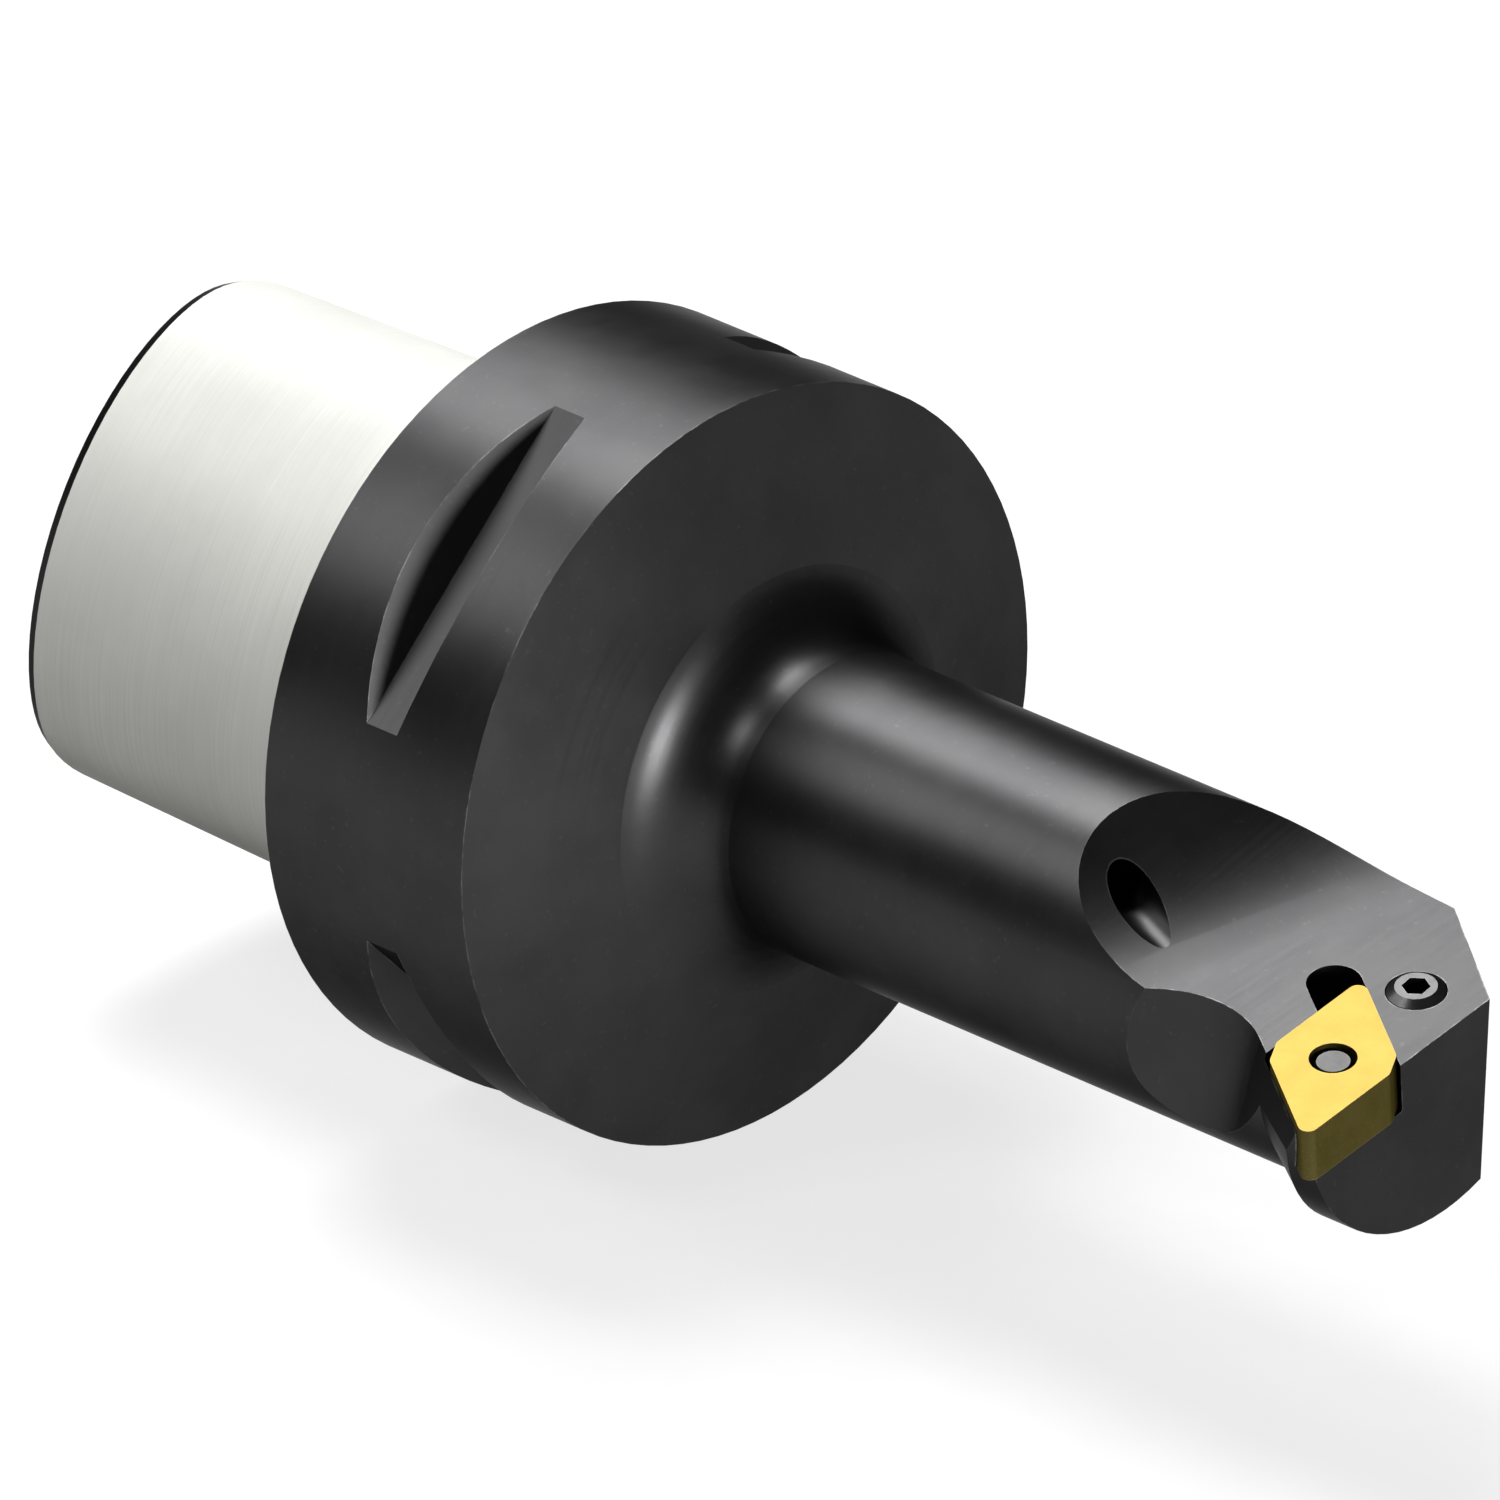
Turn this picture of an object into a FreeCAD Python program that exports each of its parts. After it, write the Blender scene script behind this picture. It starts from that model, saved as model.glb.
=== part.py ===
import FreeCAD, Part
import Sketcher
import math
import os

# Turning tool holder: a 25 mm boring bar on a polygonal taper shank, with a
# lever clamp under a 55 degree rhombic insert. Millimetres and degrees.
# X runs along the bar towards the cutting end and is zero at the rear face of
# the flange, Z is up, and the insert cuts on the -Y side.

vector = FreeCAD.Vector
rotation = FreeCAD.Rotation
placement = FreeCAD.Placement

SIZES = [
    # polygon shank
    ("shank_length", 38.0, "flange face to the end of the shank"),
    ("shank_mean_radius", 22.0, "mean radius of the polygon at the flange face"),
    ("shank_eccentricity", 1.4, "eccentricity of the polygon"),
    ("shank_taper", 0.025, "loss of radius per unit of length"),
    ("shank_end_length", 1.0, "chamfer at the end of the shank, along it"),
    ("shank_end_depth", 0.4, "the same chamfer, across"),
    # bore inside the shank
    ("bore_radius", 14.0, "bore that takes the clamping unit"),
    ("bore_mouth_chamfer", 1.0, "chamfer at the mouth of the bore"),
    ("bore_depth", 24.0, "depth of the bore"),
    ("clamp_groove_radius", 16.0, "groove that the clamping segments hold"),
    ("clamp_groove_start", 9.0, "end of the shank to the segment groove"),
    ("clamp_groove_width", 6.0, "width of the segment groove"),
    ("bolt_hole_radius", 9.0, "core of the thread for the centre bolt"),
    ("bolt_hole_length", 20.0, "length of the threaded hole"),
    ("bolt_hole_tip", 5.0, "drill point at the end of the threaded hole"),
    # flange
    ("flange_radius", 31.5, "half the coupling size"),
    ("flange_length", 22.0, "length of the flange's rim"),
    ("flange_cone_length", 5.1, "length of the cone in front of the rim, down to the bar"),
    ("slot_start", 10.0, "flange face to the floor of a gripper slot"),
    ("slot_floor_width", 3.33, "width of the slot's floor"),
    ("slot_floor_height", 27.9, "bar axis to the slot's floor"),
    ("slot_reach", 0.6, "reach of the slot's cutter past the rim"),
    ("slot_wall_angle", 30.0, "lean of the slot's walls"),
    ("slot_count", 4, "gripper slots round the rim"),
    ("slot_first_angle", 45.0, "first slot, turned from straight up"),
    # bar
    ("bar_radius", 12.5, "bar"),
    ("root_fillet", 7.0, "fillet between the cone and the bar"),
    # lobe under the insert
    ("lobe_radius", 15.75, "lower lobe of the head"),
    ("lobe_offset", 0.9, "lobe axis beside the bar axis"),
    ("lobe_height", 1.75, "lobe axis over the bar axis"),
    ("lobe_ramp_start", 90.2, "flange face to the ramp behind the lobe"),
    ("lobe_ramp_angle", 30.0, "slope of the ramp"),
    ("corner_direction", 57.5, "direction in which the trimmed corner looks"),
    ("corner_crossing", 105.7, "flange face to where that face would meet the bar axis"),
    # place of the cutting corner
    ("tool_length", 100.0, "flange face to the cutting nose"),
    ("tool_offset", 17.0, "bar axis to the cutting nose"),
    ("entering_angle", 93.0, "entering angle of the cutting edge"),
    ("inclination_angle", 11.0, "rise of the cutting edge from the nose"),
    ("rake_angle", 6.0, "tilt of the seat about the cutting edge"),
    # insert
    ("insert_circle", 9.525, "inscribed circle"),
    ("insert_angle", 55.0, "corner angle"),
    ("insert_thickness", 4.76, "thickness"),
    ("insert_hole_radius", 1.905, "hole"),
    ("nose_radius", 0.8, "corner rounding"),
    ("side_corner_cut", 1.35, "flat across each of the two blunt corners"),
    # pocket
    ("wall_clearance", 0.05, "insert to pocket wall"),
    ("face_recess", 0.34, "front face behind the cutting edge"),
    ("top_recess", 0.35, "top of the head under the insert's top"),
    ("corner_slot_radius", 2.2, "relief slot behind the insert's far corner"),
    ("corner_slot_reach", 0.55, "that corner to the centre of the slot's end"),
    # cuts on the head
    ("cut_reach", 45.0, "reach of the milled faces past the head"),
    ("relief_radius", 25.0, "hollow that rises from the head's top to the bar"),
    ("relief_height", 20.0, "height of the cut above the head's top"),
    ("relief_turn", 19.0, "turn of the hollow against the cutting edge"),
    ("relief_distance", 14.37, "insert's centre to the start of the hollow"),
    ("notch_radius", 8.9, "chip notch on the cutting side"),
    ("notch_x", 83.3, "flange face to the notch axis"),
    ("notch_y", 18.3, "bar axis to the notch axis"),
    ("notch_tilt", 15.2, "lean of the notch axis"),
    # coolant
    ("outlet_radius", 1.85, "coolant outlet bore"),
    ("outlet_x", 71.5, "flange face to the mouth of the outlet"),
    ("outlet_y", 6.67, "bar axis to the mouth, sideways"),
    ("outlet_z", 6.88, "bar axis to the mouth, upwards"),
    ("outlet_swing", 18.9, "swing of the outlet towards the insert"),
    ("outlet_dip", 5.7, "dip of the outlet towards the insert"),
    ("outlet_length", 12.0, "outlet bore behind its mouth"),
    ("duct_radius", 2.5, "duct from the centre bolt to the outlet"),
    # lever
    ("lever_turn", 3.9, "turn of the lever from the cutting edge"),
    ("pivot_depth", 5.4, "seat to the lever's rocking axis"),
    ("heel_radius", 1.8, "round heel of the lever"),
    ("lever_half_width", 1.5, "half the width of heel and foot"),
    ("foot_half", 1.5, "half the thickness of the foot"),
    ("fork_end", 0.8, "end of the foot's fork before the screw axis"),
    ("neck_radius", 1.25, "lever pin under its bulge"),
    ("bulge_radius", 1.5, "bulge that presses on the insert"),
    ("bulge_start", 2.2, "seat to the lower end of the bulge"),
    ("bulge_rise", 0.4, "slope under the bulge"),
    ("pin_tip_radius", 1.32, "flat tip of the pin"),
    ("pin_tip_chamfer", 0.35, "chamfer round the tip"),
    ("pin_gap", 0.3, "insert's top to the tip"),
    ("lever_bore_radius", 2.6, "bore in the seat for the lever"),
    ("heel_clearance", 0.15, "heel to the bottom of its bore"),
    ("channel_play", 0.5, "play on each side of the foot"),
    ("channel_travel", 0.65, "play over and under the foot"),
    # lever screw
    ("screw_distance", 10.8, "insert hole to the lever screw"),
    ("screw_radius", 2.35, "lever screw"),
    ("screw_clearance", 0.1, "screw to its bore"),
    ("screw_stand", 0.48, "end of the screw over the head's top"),
    ("screw_tip_radius", 1.69, "flat end of the screw"),
    ("waist_radius", 1.45, "waist that moves the lever's foot"),
    ("waist_play", 0.15, "foot to the waist and to its shoulders"),
    ("collar_length", 1.85, "collar under the waist"),
    ("collar_clearance", 0.7, "collar to the bottom of the bore"),
    ("socket_width", 2.0, "hexagon socket across flats"),
    ("socket_depth", 2.2, "depth of the socket"),
]

document = FreeCAD.newDocument("turning_tool_holder")
sheet = document.addObject("Spreadsheet::Sheet", "size")
for row, (alias, number, note) in enumerate(SIZES, start=1):
    sheet.set(f"A{row}", note)
    sheet.set(f"B{row}", str(number))
    sheet.setAlias(f"B{row}", alias)
document.recompute()


def get(alias):
    """Value of one cell of the sheet."""
    return float(getattr(sheet, alias))


def terms(formula):
    """Signs and words of a sum such as 'tool_length - face_recess'."""
    sign = 1
    for word in formula.split():
        if word in ("+", "-"):
            sign = 1 if word == "+" else -1
        else:
            yield sign, word


def total(formula):
    """Number that a sum stands for; an empty sum is zero."""
    return sum(sign * get(word) for sign, word in terms(formula))


def bound(formula):
    """The same sum as an expression on the sheet."""
    return " ".join(f"{'+' if sign > 0 else '-'} size.{word}" for sign, word in terms(formula))


def add(kind, name, shape_place=None, **formulas):
    """Object whose properties are bound to the sheet, by sums or by whole expressions."""
    item = document.addObject(kind, name)
    for key, formula in formulas.items():
        item.setExpression(key, formula if "size." in formula else bound(formula))
    if shape_place is not None:
        item.Placement = shape_place
    return item


def at(base, x=0.0, y=0.0, z=0.0, turn=None):
    """Placement moved within another one."""
    return base * placement(vector(x, y, z), turn or rotation())


def frame(origin, x_axis, z_axis):
    """Placement whose X and Z look along two directions, the second exactly."""
    return placement(origin, rotation(x_axis, vector(), z_axis, "ZXY"))


def new_body(label, body_place=None):
    body = document.addObject("PartDesign::Body", label)
    if body_place is not None:
        body.Placement = body_place
    return body


def base_item(body, role):
    """Plane or axis of a body's own origin."""
    return next(item for item in body.Origin.OriginFeatures if item.Role == role)


def new_sketch(body, name, role="XY_Plane", offset=None):
    sketch = body.newObject("Sketcher::SketchObject", name)
    sketch.AttachmentSupport = (base_item(body, role), [""])
    sketch.MapMode = "FlatFace"
    if offset is not None:
        sketch.AttachmentOffset = offset
    return sketch


def constrain(sketch, kind, *references, formula=None, number=None):
    """Constraint, bound to an expression where it has a size."""
    if formula is None:
        sketch.addConstraint(Sketcher.Constraint(kind, *references))
        return
    index = sketch.addConstraint(Sketcher.Constraint(kind, *references, number))
    sketch.setExpression(f"Constraints[{index}]", formula)


def add_loop(sketch, points):
    """Closed run of straight lines through points."""
    count = len(points)
    for index, point in enumerate(points):
        sketch.addGeometry(Part.LineSegment(point, points[(index + 1) % count]))
    for index in range(count):
        constrain(sketch, "Coincident", index, 2, (index + 1) % count, 1)


def outline(body, name, corners, role="XY_Plane"):
    """Closed outline with each corner bound to two sums of sheet values."""
    sketch = new_sketch(body, name, role)
    add_loop(sketch, [vector(total(across), total(up), 0) for across, up in corners])
    for index, corner in enumerate(corners):
        for kind, axis, formula in zip(("DistanceX", "DistanceY"), (-2, -1), corner):
            if formula:
                constrain(sketch, kind, -1, 1, index, 1, formula=bound(formula), number=total(formula))
            else:
                constrain(sketch, "PointOnObject", index, 1, axis)
    return sketch


def revolve(body, name, corners, role="XY_Plane", axis="H_Axis"):
    profile = outline(body, name + "_outline", corners, role)
    turned = body.newObject("PartDesign::Revolution", name)
    turned.Profile = profile
    turned.ReferenceAxis = (profile, [axis])
    turned.Angle = 360
    document.recompute()
    return turned


def pad(body, profile, name, length, both_sides=False):
    raised = body.newObject("PartDesign::Pad", name)
    raised.Profile = profile
    raised.setExpression("Length", length)
    if both_sides:
        raised.SideType = "Symmetric"
    document.recompute()
    return raised


def edge_names(feature, test):
    """Names of the edges that pass a test."""
    return [f"Edge{index}" for index, edge in enumerate(feature.Shape.Edges, start=1) if test(edge)]


def round_edges(body, feature, name, radius, test):
    """Fillet on the edges that pass a test."""
    rounded = body.newObject("PartDesign::Fillet", name)
    rounded.Base = (feature, edge_names(feature, test))
    rounded.setExpression("Radius", f"size.{radius}")
    document.recompute()
    return rounded


def ring_at(x, radius):
    """Test for a circle round the bar axis."""
    def test(edge):
        curve = edge.Curve
        return (isinstance(curve, Part.Circle) and math.isclose(curve.Radius, radius, abs_tol=1e-4)
                and math.isclose(curve.Center.x, x, abs_tol=1e-4))
    return test


def fuse(name, *shapes):
    joined = document.addObject("Part::MultiFuse", name)
    joined.Shapes = list(shapes)
    joined.Refine = True
    return joined


def cut(name, base, tool):
    result = document.addObject("Part::Cut", name)
    result.Base = base
    result.Tool = tool
    result.Refine = True
    return result


# Frames of the pocket: X along the cutting edge, Y away from the front, Z out
# of the seat, with the origin on the seat under the insert's hole.

def pocket_frame():
    """The seat's frame, from the tool's angles and the place of its nose."""
    swing = math.radians(get("entering_angle") - 90)
    rise = math.radians(get("inclination_angle"))
    tilt = math.radians(get("rake_angle"))
    half_corner = math.radians(get("insert_angle")) / 2
    edge = vector(-math.sin(swing) * math.cos(rise), math.cos(swing) * math.cos(rise), math.sin(rise))
    back = vector(-math.cos(swing), -math.sin(swing), 0)
    upward = edge.cross(back).normalize()
    inward = back * math.cos(tilt) + upward * math.sin(tilt)
    outward = edge.cross(inward)
    inward_diagonal = edge * math.cos(half_corner) + inward * math.sin(half_corner)
    nose = get("nose_radius")
    nose_centre = vector(get("tool_length") - nose * math.hypot(edge.x, inward.x),
                         -get("tool_offset") + nose * math.hypot(edge.y, inward.y),
                         nose * inward_diagonal.z)
    reach = (get("insert_circle") / 2 - nose) / math.sin(half_corner)
    seat = nose_centre + inward_diagonal * reach - outward * get("insert_thickness")
    return frame(seat, edge, outward)


seat = pocket_frame()
lever_frame = at(seat, turn=rotation(vector(0, 0, 1), get("lever_turn")))
half_insert = get("insert_circle") / 2
top_level = get("insert_thickness") - get("top_recess")


# Insert and pocket share one rhombus drawn round an inscribed circle.

def rhombus_prism(label, diameter_formula, diameter, height_formula):
    body = new_body(label, seat)
    sketch = new_sketch(body, label + "_outline")
    corner = math.radians(get("insert_angle"))
    half_side = diameter / 2 / math.sin(corner)
    along = vector(half_side, 0, 0)
    across = vector(math.cos(corner), math.sin(corner), 0) * half_side
    add_loop(sketch, [-along - across, along - across, along + across, across - along])
    sketch.addGeometry(Part.Circle(vector(), vector(0, 0, 1), diameter / 2), True)
    constrain(sketch, "Coincident", 4, 3, -1, 1)
    constrain(sketch, "Diameter", 4, formula=diameter_formula, number=diameter)
    for side in range(4):
        constrain(sketch, "Tangent", side, 4)
    constrain(sketch, "Horizontal", 0)
    constrain(sketch, "Parallel", 0, 2)
    constrain(sketch, "Parallel", 1, 3)
    constrain(sketch, "Angle", 0, 1, 3, 2, formula="size.insert_angle * 1 deg", number=corner)
    return body, pad(body, sketch, label + "_pad", height_formula)


insert, insert_pad = rhombus_prism("insert_blank", "size.insert_circle", get("insert_circle"),
                                   "size.insert_thickness")


def is_upright(edge):
    along = edge.Vertexes[0].Point - edge.Vertexes[-1].Point
    return math.isclose(abs(along.z), along.Length)


def is_blunt_corner(edge):
    """Upright edge at one of the two wide corners, which stand nearest to the hole."""
    start = edge.Vertexes[0].Point
    return is_upright(edge) and math.hypot(start.x, start.y) < get("insert_circle")


blunted = insert.newObject("PartDesign::Chamfer", "blunt_corners")
blunted.Base = (insert_pad, edge_names(insert_pad, is_blunt_corner))
blunted.setExpression("Size", "size.side_corner_cut")
document.recompute()
round_edges(insert, blunted, "insert_corners", "nose_radius", is_upright)
insert_hole = add("Part::Cylinder", "insert_hole", seat, Radius="insert_hole_radius",
                  Height="insert_thickness")
insert_piece = cut("insert", insert, insert_hole)

pocket, pocket_pad = rhombus_prism("pocket_space", "size.insert_circle + 2 * size.wall_clearance",
                                   get("insert_circle") + 2 * get("wall_clearance"), "size.cut_reach")


# Round-ended cuts: the end is round about the origin and the sides run along X.

def round_ended(label, body_place, radius, both_sides):
    body = new_body(label, body_place)
    sketch = new_sketch(body, label + "_outline")
    r = get(radius)
    far = get("cut_reach")
    circle = Part.Circle(vector(), vector(0, 0, 1), r)
    sketch.addGeometry(Part.ArcOfCircle(circle, math.pi / 2, 3 * math.pi / 2))
    sketch.addGeometry(Part.LineSegment(vector(0, -r, 0), vector(far, -r, 0)))
    sketch.addGeometry(Part.LineSegment(vector(far, -r, 0), vector(far, r, 0)))
    sketch.addGeometry(Part.LineSegment(vector(far, r, 0), vector(0, r, 0)))
    constrain(sketch, "Coincident", 0, 3, -1, 1)
    constrain(sketch, "Radius", 0, formula=f"size.{radius}", number=r)
    constrain(sketch, "Tangent", 0, 2, 1, 1)
    constrain(sketch, "Tangent", 3, 2, 0, 1)
    constrain(sketch, "Coincident", 1, 2, 2, 1)
    constrain(sketch, "Coincident", 2, 2, 3, 1)
    constrain(sketch, "Horizontal", 1)
    constrain(sketch, "Vertical", 2)
    constrain(sketch, "DistanceX", 1, 1, 1, 2, formula="size.cut_reach", number=far)
    pad(body, sketch, label + "_pad", "size.cut_reach", both_sides)
    return body


# Holder body: turned blank, polygon shank and lobe, joined and then milled.

def turned_blank():
    body = new_body("turned_blank")
    cone_end = "flange_length + flange_cone_length"
    bar_end = "tool_length + nose_radius"
    turned = revolve(body, "blank", [
        ("", ""),
        ("", "flange_radius"),
        ("flange_length", "flange_radius"),
        (cone_end, "bar_radius"),
        (bar_end, "bar_radius"),
        (bar_end, ""),
    ])
    root_ring = ring_at(total(cone_end), get("bar_radius"))
    round_edges(body, turned, "root_rounding", "root_fillet", root_ring)
    cut_slots(body)
    return body


def cut_slots(body):
    """Straight gripper slots across the rim, a quarter turn apart."""
    turn = placement(vector(), rotation(vector(1, 0, 0), get("slot_first_angle")))
    sketch = new_sketch(body, "slot_outline", "XZ_Plane", turn)
    start, width = get("slot_start"), get("slot_floor_width")
    floor, top = get("slot_floor_height"), total("flange_radius + slot_reach")
    lean = math.radians(90 - get("slot_wall_angle"))
    spread = (top - floor) / math.tan(lean)
    add_loop(sketch, [vector(start, floor, 0), vector(start + width, floor, 0),
                      vector(start + width + spread, top, 0), vector(start - spread, top, 0)])
    constrain(sketch, "Horizontal", 0)
    constrain(sketch, "Horizontal", 2)
    constrain(sketch, "DistanceX", -1, 1, 0, 1, formula="size.slot_start", number=start)
    constrain(sketch, "DistanceX", 0, 1, 0, 2, formula="size.slot_floor_width", number=width)
    constrain(sketch, "DistanceY", -1, 1, 0, 1, formula="size.slot_floor_height", number=floor)
    constrain(sketch, "DistanceY", -1, 1, 2, 1, formula="size.flange_radius + size.slot_reach", number=top)
    constrain(sketch, "Angle", 1, formula="(90 - size.slot_wall_angle) * 1 deg", number=lean)
    constrain(sketch, "Angle", 3, formula="(size.slot_wall_angle - 90) * 1 deg", number=-lean)
    slot = body.newObject("PartDesign::Pocket", "slot")
    slot.Profile = sketch
    slot.Type = "ThroughAll"
    slot.SideType = "Symmetric"
    document.recompute()
    ring = body.newObject("PartDesign::PolarPattern", "slot_ring")
    ring.Originals = [slot]
    ring.Axis = (base_item(body, "X_Axis"), [""])
    ring.Angle = 360
    ring.setExpression("Occurrences", "size.slot_count")
    body.Tip = ring
    document.recompute()


def polygon_section(name, x, radius):
    """Three-lobed closed curve through points, turned 30 degrees to set one lobe straight up."""
    steps = 72
    eccentricity = get("shank_eccentricity")
    upright = rotation(vector(1, 0, 0), 30)
    points = []
    for step in range(steps):
        angle = 2 * math.pi * step / steps
        side = radius * math.cos(angle) - eccentricity * (2 * math.cos(2 * angle) - math.cos(4 * angle))
        up = radius * math.sin(angle) + eccentricity * (2 * math.sin(2 * angle) + math.sin(4 * angle))
        points.append(upright.multVec(vector(x, side, up)))
    curve = Part.BSplineCurve()
    curve.interpolate(points, PeriodicFlag=True)
    section = document.addObject("Part::Feature", name)
    section.Shape = Part.Wire(curve.toShape())
    return section


def polygon_shank():
    """Tapered polygon from the flange back to the chamfer at its end."""
    length, radius, taper = get("shank_length"), get("shank_mean_radius"), get("shank_taper")
    shoulder = length - get("shank_end_length")
    loft = document.addObject("Part::Loft", "polygon_shank")
    loft.Sections = [
        polygon_section("shank_root", 0, radius),
        polygon_section("shank_shoulder", -shoulder, radius - taper * shoulder),
        polygon_section("shank_end", -length, radius - taper * shoulder - get("shank_end_depth")),
    ]
    loft.Solid = True
    loft.Ruled = True
    return loft


def head_lobe():
    """Offset round lobe that carries the pocket, with a ramp turned round the bar."""
    start = get("lobe_ramp_start")
    along_bar = rotation(vector(0, 1, 0), 90)
    length = "tool_length + nose_radius - lobe_ramp_start"
    round_lobe = add("Part::Cylinder", "round_lobe",
                     placement(vector(start, -get("lobe_offset"), get("lobe_height")), along_bar),
                     Radius="lobe_radius", Height=length)
    ramp = add("Part::Cone", "lobe_ramp", placement(vector(start, 0, 0), along_bar),
               Radius1="bar_radius", Height=length,
               Radius2=f"size.bar_radius + ({bound(length)}) * tan(size.lobe_ramp_angle * 1 deg)")
    lobe = document.addObject("Part::MultiCommon", "head_lobe")
    lobe.Shapes = [round_lobe, ramp]
    return lobe


def shank_bore():
    """Stepped bore with the groove for the clamping segments and the bolt's thread core."""
    end = "- shank_length"
    groove = end + " + clamp_groove_start"
    groove_end = groove + " + clamp_groove_width"
    floor = end + " + bore_depth"
    thread_end = floor + " + bolt_hole_length"
    body = new_body("shank_bore")
    revolve(body, "bore", [
        (end, ""),
        (end, "bore_radius + bore_mouth_chamfer"),
        (end + " + bore_mouth_chamfer", "bore_radius"),
        (groove, "bore_radius"),
        (groove, "clamp_groove_radius"),
        (groove_end, "clamp_groove_radius"),
        (groove_end, "bore_radius"),
        (floor, "bore_radius"),
        (floor, "bolt_hole_radius"),
        (thread_end, "bolt_hole_radius"),
        (thread_end + " + bolt_hole_tip", ""),
    ])
    return body


def coolant_bores():
    """Outlet bore aimed over the insert's nose, and the duct that feeds it."""
    mouth = vector(get("outlet_x"), -get("outlet_y"), get("outlet_z"))
    aim = rotation(vector(0, 0, 1), -get("outlet_swing")) * rotation(vector(0, 1, 0), get("outlet_dip"))
    direction = aim.multVec(vector(1, 0, 0))
    inner_end = mouth - direction * get("outlet_length")
    outlet = add("Part::Cylinder", "coolant_outlet", frame(inner_end, vector(0, 1, 0), direction),
                 Radius="outlet_radius", Height="outlet_length + outlet_length")
    feed = vector(total("bolt_hole_length + bore_depth - shank_length"), 0, 0)
    duct = add("Part::Cylinder", "coolant_duct", frame(feed, vector(0, 1, 0), inner_end - feed),
               Radius="duct_radius")
    duct.Height = inner_end.distanceToPoint(feed) + get("outlet_radius")
    return [outlet, duct]


def front_cut():
    reach = get("cut_reach")
    corner = at(seat, -reach, get("face_recess") - half_insert - reach, -reach)
    return add("Part::Box", "front_cut", corner, Length="cut_reach + cut_reach", Width="cut_reach",
               Height="cut_reach + cut_reach")


def corner_cut():
    reach = get("cut_reach")
    facing = placement(vector(get("corner_crossing"), 0, 0), rotation(vector(0, 0, 1), get("corner_direction")))
    corner = at(facing, 0, -reach, -reach)
    return add("Part::Box", "corner_cut", corner, Length="cut_reach", Width="cut_reach + cut_reach",
               Height="cut_reach + cut_reach")


def relief_cut():
    """Flat top of the head and the hollow that rises from it to the top of the bar."""
    turn = math.radians(get("relief_turn"))
    backward = vector(math.sin(turn), math.cos(turn), 0)
    start = seat.multVec(backward * get("relief_distance") + vector(0, 0, top_level))
    forward = seat.Rotation.multVec(-backward)
    upward = seat.Rotation.multVec(vector(0, 0, 1))
    body = new_body("relief_space", frame(start, forward, forward.cross(upward)))
    sketch = new_sketch(body, "relief_outline")
    reach, radius, height = get("cut_reach"), get("relief_radius"), get("relief_height")
    run = math.sqrt(radius ** 2 - (radius - height) ** 2)
    arc_start = math.pi + math.atan2(radius - height, run)
    sketch.addGeometry(Part.LineSegment(vector(), vector(reach, 0, 0)))
    sketch.addGeometry(Part.LineSegment(vector(reach, 0, 0), vector(reach, height, 0)))
    sketch.addGeometry(Part.LineSegment(vector(reach, height, 0), vector(-run, height, 0)))
    hollow = Part.Circle(vector(0, radius, 0), vector(0, 0, 1), radius)
    sketch.addGeometry(Part.ArcOfCircle(hollow, arc_start, 3 * math.pi / 2))
    constrain(sketch, "Coincident", 0, 1, -1, 1)
    constrain(sketch, "Coincident", 0, 2, 1, 1)
    constrain(sketch, "Coincident", 1, 2, 2, 1)
    constrain(sketch, "Coincident", 2, 2, 3, 1)
    constrain(sketch, "Tangent", 3, 2, 0, 1)
    constrain(sketch, "Horizontal", 0)
    constrain(sketch, "Vertical", 1)
    constrain(sketch, "Horizontal", 2)
    constrain(sketch, "DistanceX", 0, 1, 0, 2, formula="size.cut_reach", number=reach)
    constrain(sketch, "DistanceY", 1, 1, 1, 2, formula="size.relief_height", number=height)
    constrain(sketch, "Radius", 3, formula="size.relief_radius", number=radius)
    pad(body, sketch, "relief_pad", "size.cut_reach", both_sides=True)
    return body


def notch_cut():
    """Chip notch: a leaning round cutter that leaves along the insert's trailing edge."""
    tilt = math.radians(get("notch_tilt"))
    corner = math.radians(get("insert_angle"))
    trailing = seat.Rotation.multVec(vector(math.cos(corner), math.sin(corner), 0))
    origin = vector(get("notch_x"), -get("notch_y"), 0)
    return round_ended("notch_space", frame(origin, -trailing, vector(math.sin(tilt), 0, math.cos(tilt))),
                       "notch_radius", True)


def corner_slot_cut():
    """Slot along the second pocket wall that frees the insert's far corner."""
    corner = math.radians(get("insert_angle"))
    far_corner = half_insert / math.sin(corner) * (1 + math.cos(corner))
    wall = half_insert + get("wall_clearance")
    turned = at(seat, turn=rotation(vector(0, 0, 1), get("insert_angle")))
    end = at(turned, far_corner + get("corner_slot_reach"), get("corner_slot_radius") - wall, 0,
             rotation(vector(0, 0, 1), 180))
    return round_ended("corner_slot", end, "corner_slot_radius", False)


def lever_cavity():
    """Bore for the lever, bore for its screw, and the channel between them."""
    half_channel = get("lever_half_width") + get("channel_play")
    channel_floor = -total("pivot_depth + foot_half + channel_travel")
    lever_bore = add("Part::Cylinder", "lever_bore",
                     at(lever_frame, z=-total("pivot_depth + heel_radius + heel_clearance")),
                     Radius="lever_bore_radius", Height="pivot_depth + heel_radius + heel_clearance")
    channel = add("Part::Box", "lever_channel",
                  at(lever_frame, get("heel_radius"), -half_channel, channel_floor),
                  Length="screw_distance - heel_radius",
                  Width="2 * (size.lever_half_width + size.channel_play)",
                  Height="2 * (size.foot_half + size.channel_travel)")
    bore_floor = "pivot_depth + foot_half + waist_play + collar_length + collar_clearance"
    screw_bore = add("Part::Cylinder", "screw_bore",
                     at(lever_frame, get("screw_distance"), z=-total(bore_floor)),
                     Radius="screw_radius + screw_clearance", Height=bore_floor + " + insert_thickness")
    return [lever_bore, channel, screw_bore]


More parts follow.
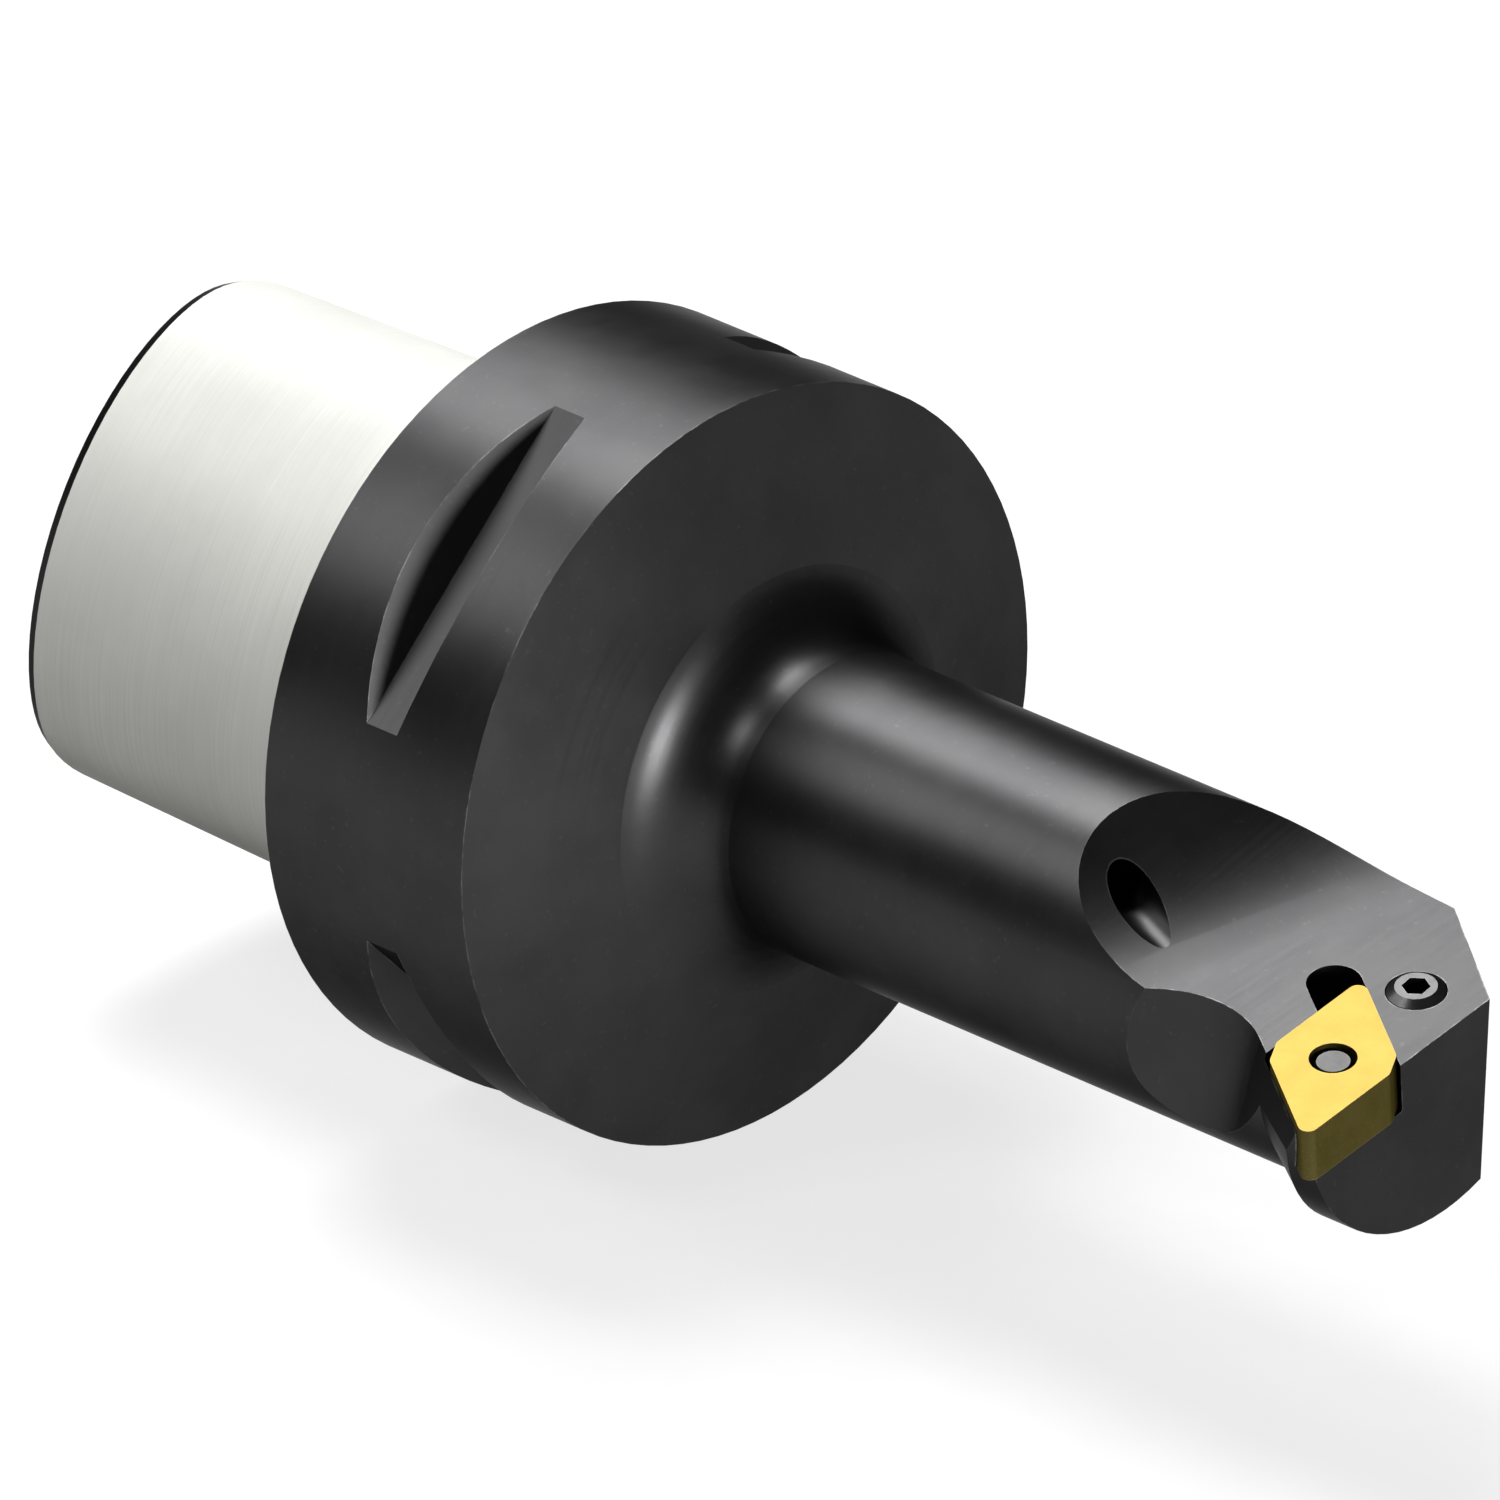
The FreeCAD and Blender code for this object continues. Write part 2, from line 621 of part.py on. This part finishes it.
def clamp_lever():
    """Rocking lever: pin up into the insert's hole, heel, and forked foot on the screw's waist."""
    body = new_body("lever_pin", lever_frame)
    pivot = "- pivot_depth"
    tip = "insert_thickness - pin_gap"
    revolve(body, "pin", [
        ("", pivot),
        ("lever_half_width", pivot),
        ("lever_half_width", pivot + " + foot_half"),
        ("neck_radius", pivot + " + foot_half + bulge_rise"),
        ("neck_radius", "bulge_start"),
        ("bulge_radius", "bulge_start + bulge_rise"),
        ("bulge_radius", tip + " - pin_tip_chamfer"),
        ("pin_tip_radius", tip),
        ("", tip),
    ], "XZ_Plane", "V_Axis")
    half_width = get("lever_half_width")
    foot = add("Part::Box", "lever_foot",
               at(lever_frame, 0, -half_width, -total("pivot_depth + foot_half")),
               Length="screw_distance - fork_end", Width="lever_half_width + lever_half_width",
               Height="foot_half + foot_half")
    heel = add("Part::Cylinder", "lever_heel",
               at(lever_frame, 0, -half_width, -get("pivot_depth"), rotation(vector(1, 0, 0), -90)),
               Radius="heel_radius", Height="lever_half_width + lever_half_width")
    fork = add("Part::Cylinder", "fork_hollow",
               at(lever_frame, get("screw_distance"), z=-total("pivot_depth + foot_half")),
               Radius="waist_radius + waist_play", Height="foot_half + foot_half")
    return cut("clamp_lever", fuse("lever_blank", body, foot, heel), fork)


def lever_screw():
    """Clamp screw with its waist, and the hexagon socket in its upper end."""
    screw_frame = at(lever_frame, get("screw_distance"))
    waist_top = "- pivot_depth + foot_half + waist_play"
    waist_low = "- pivot_depth - foot_half - waist_play"
    low_end = waist_low + " - collar_length"
    face = "insert_thickness - top_recess"
    tip = face + " + screw_stand"
    body = new_body("screw_blank", screw_frame)
    revolve(body, "screw", [
        ("", low_end),
        ("screw_radius", low_end),
        ("screw_radius", waist_low),
        ("waist_radius", waist_low),
        ("waist_radius", waist_top),
        ("screw_radius", waist_top),
        ("screw_radius", face),
        ("screw_tip_radius", tip),
        ("", tip),
    ], "XZ_Plane", "V_Axis")
    socket = add("Part::Prism", "hexagon_socket", at(screw_frame, z=total(tip) - get("socket_depth")),
                 Circumradius="size.socket_width / sqrt(3)", Height="socket_depth")
    socket.Polygon = 6
    return cut("lever_screw", body, socket)


holder = fuse("holder_blank", turned_blank(), polygon_shank(), head_lobe())
holder = cut("bored_holder", holder, fuse("bores", shank_bore(), *coolant_bores()))
for tool in (relief_cut(), front_cut(), corner_cut(), notch_cut(), corner_slot_cut(), pocket):
    holder = cut("milled_" + tool.Name, holder, tool)
holder = cut("holder_body", holder, fuse("lever_space", *lever_cavity()))

pieces = [holder, insert_piece, clamp_lever(), lever_screw()]
document.recompute()

for item in document.Objects:
    if "Invalid" in item.State or "Error" in item.State:
        raise RuntimeError(f"{item.Name} failed: {item.State}")

os.makedirs("parts", exist_ok=True)
for piece in pieces:
    shape = piece.Shape
    if shape.isNull() or not shape.isValid() or len(shape.Solids) != 1:
        raise RuntimeError(f"{piece.Label} is not one valid solid")
    shape.exportStep(f"parts/{piece.Label}.step")
    print(f"{piece.Label}: {shape.Volume:.1f} mm3, {len(shape.Faces)} faces")
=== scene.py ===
import bpy
from mathutils import Matrix, Vector


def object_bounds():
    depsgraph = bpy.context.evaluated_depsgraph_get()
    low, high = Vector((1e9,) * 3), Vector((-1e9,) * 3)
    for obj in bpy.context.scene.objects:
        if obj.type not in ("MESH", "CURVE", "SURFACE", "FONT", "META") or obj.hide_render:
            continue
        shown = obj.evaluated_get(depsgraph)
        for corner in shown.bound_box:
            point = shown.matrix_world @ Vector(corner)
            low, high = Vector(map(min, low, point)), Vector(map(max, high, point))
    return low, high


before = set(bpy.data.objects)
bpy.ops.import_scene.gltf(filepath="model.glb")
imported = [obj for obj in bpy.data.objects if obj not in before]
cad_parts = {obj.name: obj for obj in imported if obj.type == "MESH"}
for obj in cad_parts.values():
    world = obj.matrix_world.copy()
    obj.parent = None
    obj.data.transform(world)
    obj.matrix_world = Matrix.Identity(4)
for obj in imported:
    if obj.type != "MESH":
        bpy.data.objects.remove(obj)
cad_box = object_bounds()

SCENE = bpy.context.scene
SCENE.view_settings.view_transform = "Standard"

WHITE = (1.0, 1.0, 1.0, 1.0)


# Node helpers. A value may be a number, a tuple or another node's output.

WEAR_MATCH = (0.97, 0.86)   # rounded against true normal: no wear at the first, full at the second


class Material:
    """A Principled material with short calls for its nodes and links."""

    def __init__(self, name):
        self.material = bpy.data.materials.new(name)
        self.material.use_nodes = True
        self.tree = self.material.node_tree
        self.tree.nodes.clear()
        self.shader = self.node("ShaderNodeBsdfPrincipled")
        output = self.node("ShaderNodeOutputMaterial")
        self.link(self.shader.outputs["BSDF"], output.inputs["Surface"])
        self.place = self.node("ShaderNodeTexCoord").outputs["Object"]

    def node(self, kind, **settings):
        item = self.tree.nodes.new(kind)
        for key, value in settings.items():
            setattr(item, key, value)
        return item

    def link(self, output, socket):
        self.tree.links.new(output, socket)

    def feed(self, socket, value):
        if hasattr(value, "is_output"):
            self.link(value, socket)
        else:
            socket.default_value = value

    def operate(self, kind, operation, values):
        item = self.node(kind, operation=operation)
        for socket, value in zip(item.inputs, values):
            self.feed(socket, value)
        return item.outputs

    def math(self, operation, *values):
        return self.operate("ShaderNodeMath", operation, values)[0]

    def plus(self, first, second):
        return self.math("ADD", first, second)

    def times(self, first, second):
        return self.math("MULTIPLY", first, second)

    def dot(self, first, second):
        return self.operate("ShaderNodeVectorMath", "DOT_PRODUCT", (first, second))["Value"]

    def normal(self):
        return self.node("ShaderNodeNewGeometry").outputs["Normal"]

    def split(self, value):
        item = self.node("ShaderNodeSeparateXYZ")
        self.link(value, item.inputs[0])
        return item.outputs

    def join(self, *values):
        item = self.node("ShaderNodeCombineXYZ")
        for socket, value in zip(item.inputs, values):
            self.feed(socket, value)
        return item.outputs[0]

    def noise(self, value, scale, detail=3.0, roughness=0.6):
        item = self.node("ShaderNodeTexNoise")
        self.link(value, item.inputs["Vector"])
        item.inputs["Scale"].default_value = scale
        item.inputs["Detail"].default_value = detail
        item.inputs["Roughness"].default_value = roughness
        return item.outputs["Fac"]

    def marks(self, scales, detail=3.0, roughness=0.6):
        """Noise over the object's place, with its own scale along x, y and z."""
        place = self.operate("ShaderNodeVectorMath", "MULTIPLY", (self.place, scales))[0]
        return self.noise(place, 1.0, detail, roughness)

    def ramp(self, value, span, out=(0.0, 1.0), kind="SMOOTHSTEP"):
        """Number that goes from one end of out to the other as the value crosses the span."""
        item = self.node("ShaderNodeMapRange", interpolation_type=kind)
        for socket, setting in zip(item.inputs, (value, *span, *out)):
            self.feed(socket, setting)
        return item.outputs["Result"]

    def blend(self, factor, first, second):
        """Number between two numbers."""
        return self.ramp(factor, (0.0, 1.0), (first, second), "LINEAR")

    def mix(self, factor, first, second):
        """Colour between two colours."""
        item = self.node("ShaderNodeMix", data_type="RGBA")
        self.feed(item.inputs["Factor"], factor)
        for name, value in (("A", first), ("B", second)):
            socket = next(s for s in item.inputs if s.name == name and s.type == "RGBA")
            self.feed(socket, value if hasattr(value, "is_output") else (*value, 1.0))
        return next(s for s in item.outputs if s.type == "RGBA")

    def vary(self, noise, dark, pale):
        """Colour that changes softly with a noise."""
        return self.mix(self.ramp(noise, NOISE_SPAN), dark, pale)

    def worn_edges(self, radius):
        """One near an edge, zero on flat or gently round surfaces."""
        bevel = self.node("ShaderNodeBevel", samples=6)
        bevel.inputs["Radius"].default_value = radius
        return self.ramp(self.dot(bevel.outputs[0], self.normal()), WEAR_MATCH)

    def bump(self, height, distance):
        item = self.node("ShaderNodeBump")
        item.inputs["Strength"].default_value = 1.0
        item.inputs["Distance"].default_value = distance
        self.link(height, item.inputs["Height"])
        self.link(item.outputs["Normal"], self.shader.inputs["Normal"])

    def set(self, **values):
        for key, value in values.items():
            self.feed(self.shader.inputs[key.replace("_", " ")], value)


def grey(level):
    return (level, level, level)


# Materials. The edge tint keeps the dark metals from shining white at a grazing angle.

EDGE_TINT = (0.38, 0.38, 0.38, 1.0)
NOISE_SPAN = (0.3, 0.7)     # most of a noise's values lie in it

# The holder's surfaces along x and out from the axis, in metres: a mask rises from the first
# value of each pair to the second.
BEHIND_FLANGE = (0.00004, 0.00001)
BEFORE_SHANK_END = (-0.03702, -0.03698)
OUTSIDE_BORE = (0.0166, 0.0169)
FLANGE_FACE = (-0.00030, -0.00005)
CONE_BEGINS = (0.0216, 0.0222)
CONE_ENDS = (0.0300, 0.0270)
HEAD_BEGINS = (0.0755, 0.0785)

# Tool marks: the scale of their noise along x, y and z, and their depth in metres.
RINGS, SMEAR = 9000.0, 20.0
TURNING = (RINGS, SMEAR, SMEAR)
GRINDING = (26000.0, 60.0, 60.0)
MILLING = (3200.0, 160.0, 160.0)
INSERT_STROKES = (2600.0, 2600.0, 300.0)
SMALL_TURNING = (9000.0, 9000.0, 1500.0)
MARK_DEPTH = 0.0000012
SMALL_MARK_DEPTH = 0.0000010

# Colours: pairs are the dark and the pale end of a variation.
OXIDE = ((0.0365, 0.0365, 0.0375), (0.0435, 0.0435, 0.044))
OXIDE_SPECKS = (0.052, 0.051, 0.050)
OXIDE_WORN = grey(0.24)
STEEL = ((0.58, 0.58, 0.549), (0.64, 0.64, 0.605))
STEEL_GROUND = (0.52, 0.52, 0.495)
STEEL_FACED = ((0.38, 0.38, 0.364), (0.46, 0.46, 0.44))
STEEL_WORN = (0.85, 0.85, 0.83)
COATING_TOP = ((0.412, 0.287, 0.064), (0.450, 0.316, 0.074))
# The flank pair is painted shade: the coating's own gold, darkened for the flanks that turn away
# from the light.
COATING_FLANK_PAINTED_SHADE = ((0.077, 0.064, 0.020), (0.088, 0.072, 0.024))
COATING_GRAINS = (0.36, 0.28, 0.08)
COATING_WORN = (0.55, 0.43, 0.15)
LEVER = (grey(0.039), grey(0.049))
SCREW = (grey(0.052), grey(0.064))
SMALL_STEEL_WORN = grey(0.22)
FLOOR = (grey(0.16), grey(0.18))


def holder_material():
    """Black oxide on turned and milled steel; the shank and the flange's face are ground bright."""
    m = Material("holder_steel")
    x, y, z = m.split(m.place)
    around = m.math("SQRT", m.plus(m.times(y, y), m.times(z, z)))

    bright = m.times(m.ramp(x, BEHIND_FLANGE), m.ramp(x, BEFORE_SHANK_END))
    bright = m.times(bright, m.ramp(around, OUTSIDE_BORE))

    # Marks that run round the axis: turning on the flange and bar, grinding on the shank.
    turned = m.marks(TURNING)
    ground = m.marks(GRINDING, detail=4.0, roughness=0.65)
    # The flange's cone and rear face are faced: their rings follow the radius.
    faced = m.noise(m.join(m.times(around, RINGS), m.times(x, SMEAR), 0.0), 1.0)
    on_cone = m.times(m.ramp(x, CONE_BEGINS), m.ramp(x, CONE_ENDS))
    turned = m.blend(on_cone, turned, faced)
    # The head's milled faces have long marks across the bar.
    turned = m.blend(m.ramp(x, HEAD_BEGINS), turned, m.marks(MILLING))

    clouds = m.noise(m.place, 95.0, detail=4.0)
    specks = m.noise(m.place, 1900.0, detail=2.0, roughness=0.5)
    scuffs = m.noise(m.place, 420.0, detail=5.0, roughness=0.7)
    worn = m.times(m.worn_edges(0.00022), m.ramp(scuffs, (0.42, 0.62)))

    oxide = m.vary(clouds, *OXIDE)
    oxide = m.mix(m.ramp(specks, (0.62, 0.8)), oxide, OXIDE_SPECKS)
    oxide = m.mix(m.times(worn, 0.5), oxide, OXIDE_WORN)
    steel = m.vary(clouds, *STEEL)
    steel = m.mix(m.ramp(ground, (0.35, 0.75)), steel, STEEL_GROUND)
    steel = m.mix(m.ramp(x, FLANGE_FACE), steel, m.vary(faced, *STEEL_FACED))
    steel = m.mix(m.times(worn, 0.35), steel, STEEL_WORN)

    oxide_rough = m.plus(m.ramp(clouds, (0.25, 0.75), (0.35, 0.38)),
                         m.ramp(turned, NOISE_SPAN, (-0.02, 0.02)))
    steel_rough = m.plus(m.ramp(ground, NOISE_SPAN, (0.34, 0.44)), m.times(clouds, 0.05))
    m.set(Base_Color=m.mix(bright, oxide, steel),
          Roughness=m.blend(bright, oxide_rough, steel_rough),
          Metallic=m.blend(bright, 1.0, 0.08),
          Specular_IOR_Level=0.0, Specular_Tint=EDGE_TINT)
    m.bump(m.blend(bright, turned, m.times(ground, 0.35)), MARK_DEPTH)
    return m.material


SEAT_UP = (0.11432, -0.18403, 0.97625)      # the way that the insert's top faces
TOP_MATCH = (0.93, 0.985)


def insert_material():
    """Gold coloured coating: bright on top; the ground flanks carry painted shade, a much deeper
    gold.
    """
    m = Material("coated_carbide")
    unshaded_top = m.ramp(m.dot(m.normal(), SEAT_UP), TOP_MATCH)
    grains = m.noise(m.place, 5200.0)
    clouds = m.noise(m.place, 380.0)
    # Painted shade: the flanks get a far darker gold than the top, picked by which way the surface
    # faces.
    colour = m.mix(unshaded_top, m.vary(clouds, *COATING_FLANK_PAINTED_SHADE), m.vary(clouds, *COATING_TOP))
    colour = m.mix(m.ramp(grains, (0.55, 0.8), (0.0, 0.25)), colour, COATING_GRAINS)
    colour = m.mix(m.times(m.worn_edges(0.00012), 0.3), colour, COATING_WORN)
    roughness = m.plus(m.blend(unshaded_top, 0.50, 0.56), m.ramp(grains, NOISE_SPAN, (-0.03, 0.03)))
    m.set(Base_Color=colour, Roughness=roughness, Metallic=m.blend(unshaded_top, 1.0, 0.4),
          Specular_IOR_Level=0.1, Specular_Tint=EDGE_TINT)
    m.bump(m.marks(INSERT_STROKES), MARK_DEPTH)
    return m.material


def steel_material(name, dark, pale, roughness):
    """Blackened steel of the lever and its screw."""
    m = Material(name)
    clouds = m.noise(m.place, 700.0, detail=4.0)
    turning = m.marks(SMALL_TURNING)
    colour = m.vary(clouds, dark, pale)
    colour = m.mix(m.times(m.worn_edges(0.00010), 0.35), colour, SMALL_STEEL_WORN)
    m.set(Base_Color=colour,
          Roughness=m.ramp(turning, NOISE_SPAN, (roughness - 0.03, roughness + 0.03)),
          Metallic=1.0, Specular_Tint=EDGE_TINT)
    m.bump(turning, SMALL_MARK_DEPTH)
    return m.material


def dress(node, material):
    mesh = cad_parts[node].data
    mesh.materials.clear()
    mesh.materials.append(material)


dress("holder_body", holder_material())
dress("insert", insert_material())
dress("clamp_lever", steel_material("lever_steel", *LEVER, 0.37))
dress("lever_screw", steel_material("screw_steel", *SCREW, 0.35))


# Camera: the photograph's place, angle and lens.

CAMERA_PLACE = Vector((1.692042, -1.677085, 1.094203))
CAMERA_RIGHT = Vector((0.7074666, 0.7067372, 0.0036707))
CAMERA_DOWN = Vector((0.2986528, -0.2942456, -0.907869))
CAMERA_AHEAD = Vector((-0.6405447, 0.6433832, -0.419238))

camera_data = bpy.data.cameras.new("camera")
camera_data.sensor_width = 36.0
camera_data.lens = 795.631
camera_data.clip_start = 0.1
camera_data.clip_end = 20.0
camera = bpy.data.objects.new("camera", camera_data)
SCENE.collection.objects.link(camera)
turn = Matrix((CAMERA_RIGHT, -CAMERA_DOWN, -CAMERA_AHEAD)).transposed().to_4x4()
camera.matrix_world = Matrix.Translation(CAMERA_PLACE) @ turn
SCENE.camera = camera


# Floor: pale in itself and white to the camera and to the gloss of the metal, with the object's
# shadow.

FLOOR_HALF = 20.0
FLOOR_GLOW = 0.745      # brings the lit floor up to white where it's seen


def floor_material():
    m = Material("floor")
    grain = m.noise(m.place, 60.0, detail=4.0)
    path = m.node("ShaderNodeLightPath").outputs
    seen = m.math("MAXIMUM", path["Is Glossy Ray"], path["Is Transmission Ray"])
    seen = m.math("MAXIMUM", path["Is Camera Ray"], seen)
    m.set(Base_Color=m.vary(grain, *FLOOR), Roughness=0.9,
          Emission_Color=WHITE, Emission_Strength=m.times(seen, FLOOR_GLOW))
    return m.material


floor_mesh = bpy.data.meshes.new("floor")
corners = [(FLOOR_HALF * x, FLOOR_HALF * y, cad_box[0][2])
           for x, y in ((-1, -1), (1, -1), (1, 1), (-1, 1))]
floor_mesh.from_pydata(corners, [], [(0, 1, 2, 3)])
floor_mesh.materials.append(floor_material())
floor = bpy.data.objects.new("floor", floor_mesh)
SCENE.collection.objects.link(floor)


# Light: a dim world and round lamps that stand where the photograph's highlights ask for them.

WORLD_STRENGTH = 0.08
LAMP_AIM = Vector((0.03, 0.0, 0.0))
LAMPS = (
    # name, direction to it, distance and diameter in metres, watts
    ("key", (-0.46, 0.11, 0.86), 1.6, 0.62, 23.5),
    ("head", (-0.508, 0.42, 0.752), 1.6, 0.52, 8.8),
    ("root", (-0.30, 0.19, 0.93), 1.6, 0.45, 7.0),
    ("root_side", (-0.20, -0.60, 0.75), 1.6, 0.45, 6.0),
    ("side", (-0.62, -0.44, 0.64), 1.6, 0.75, 6.6),
    ("front", (0.99, -0.18, 0.0), 1.2, 0.36, 20.0),
)

world = bpy.data.worlds.new("world")
SCENE.world = world
world.use_nodes = True
background = world.node_tree.nodes["Background"]
background.inputs["Color"].default_value = WHITE
background.inputs["Strength"].default_value = WORLD_STRENGTH

for name, towards, distance, diameter, watts in LAMPS:
    light = bpy.data.lights.new(name, "AREA")
    light.shape = "DISK"
    light.size = diameter
    light.energy = watts
    lamp = bpy.data.objects.new(name, light)
    lamp.visible_camera = False
    SCENE.collection.objects.link(lamp)
    direction = Vector(towards).normalized()
    lamp.location = LAMP_AIM + direction * distance
    lamp.rotation_euler = direction.to_track_quat("Z", "Y").to_euler()
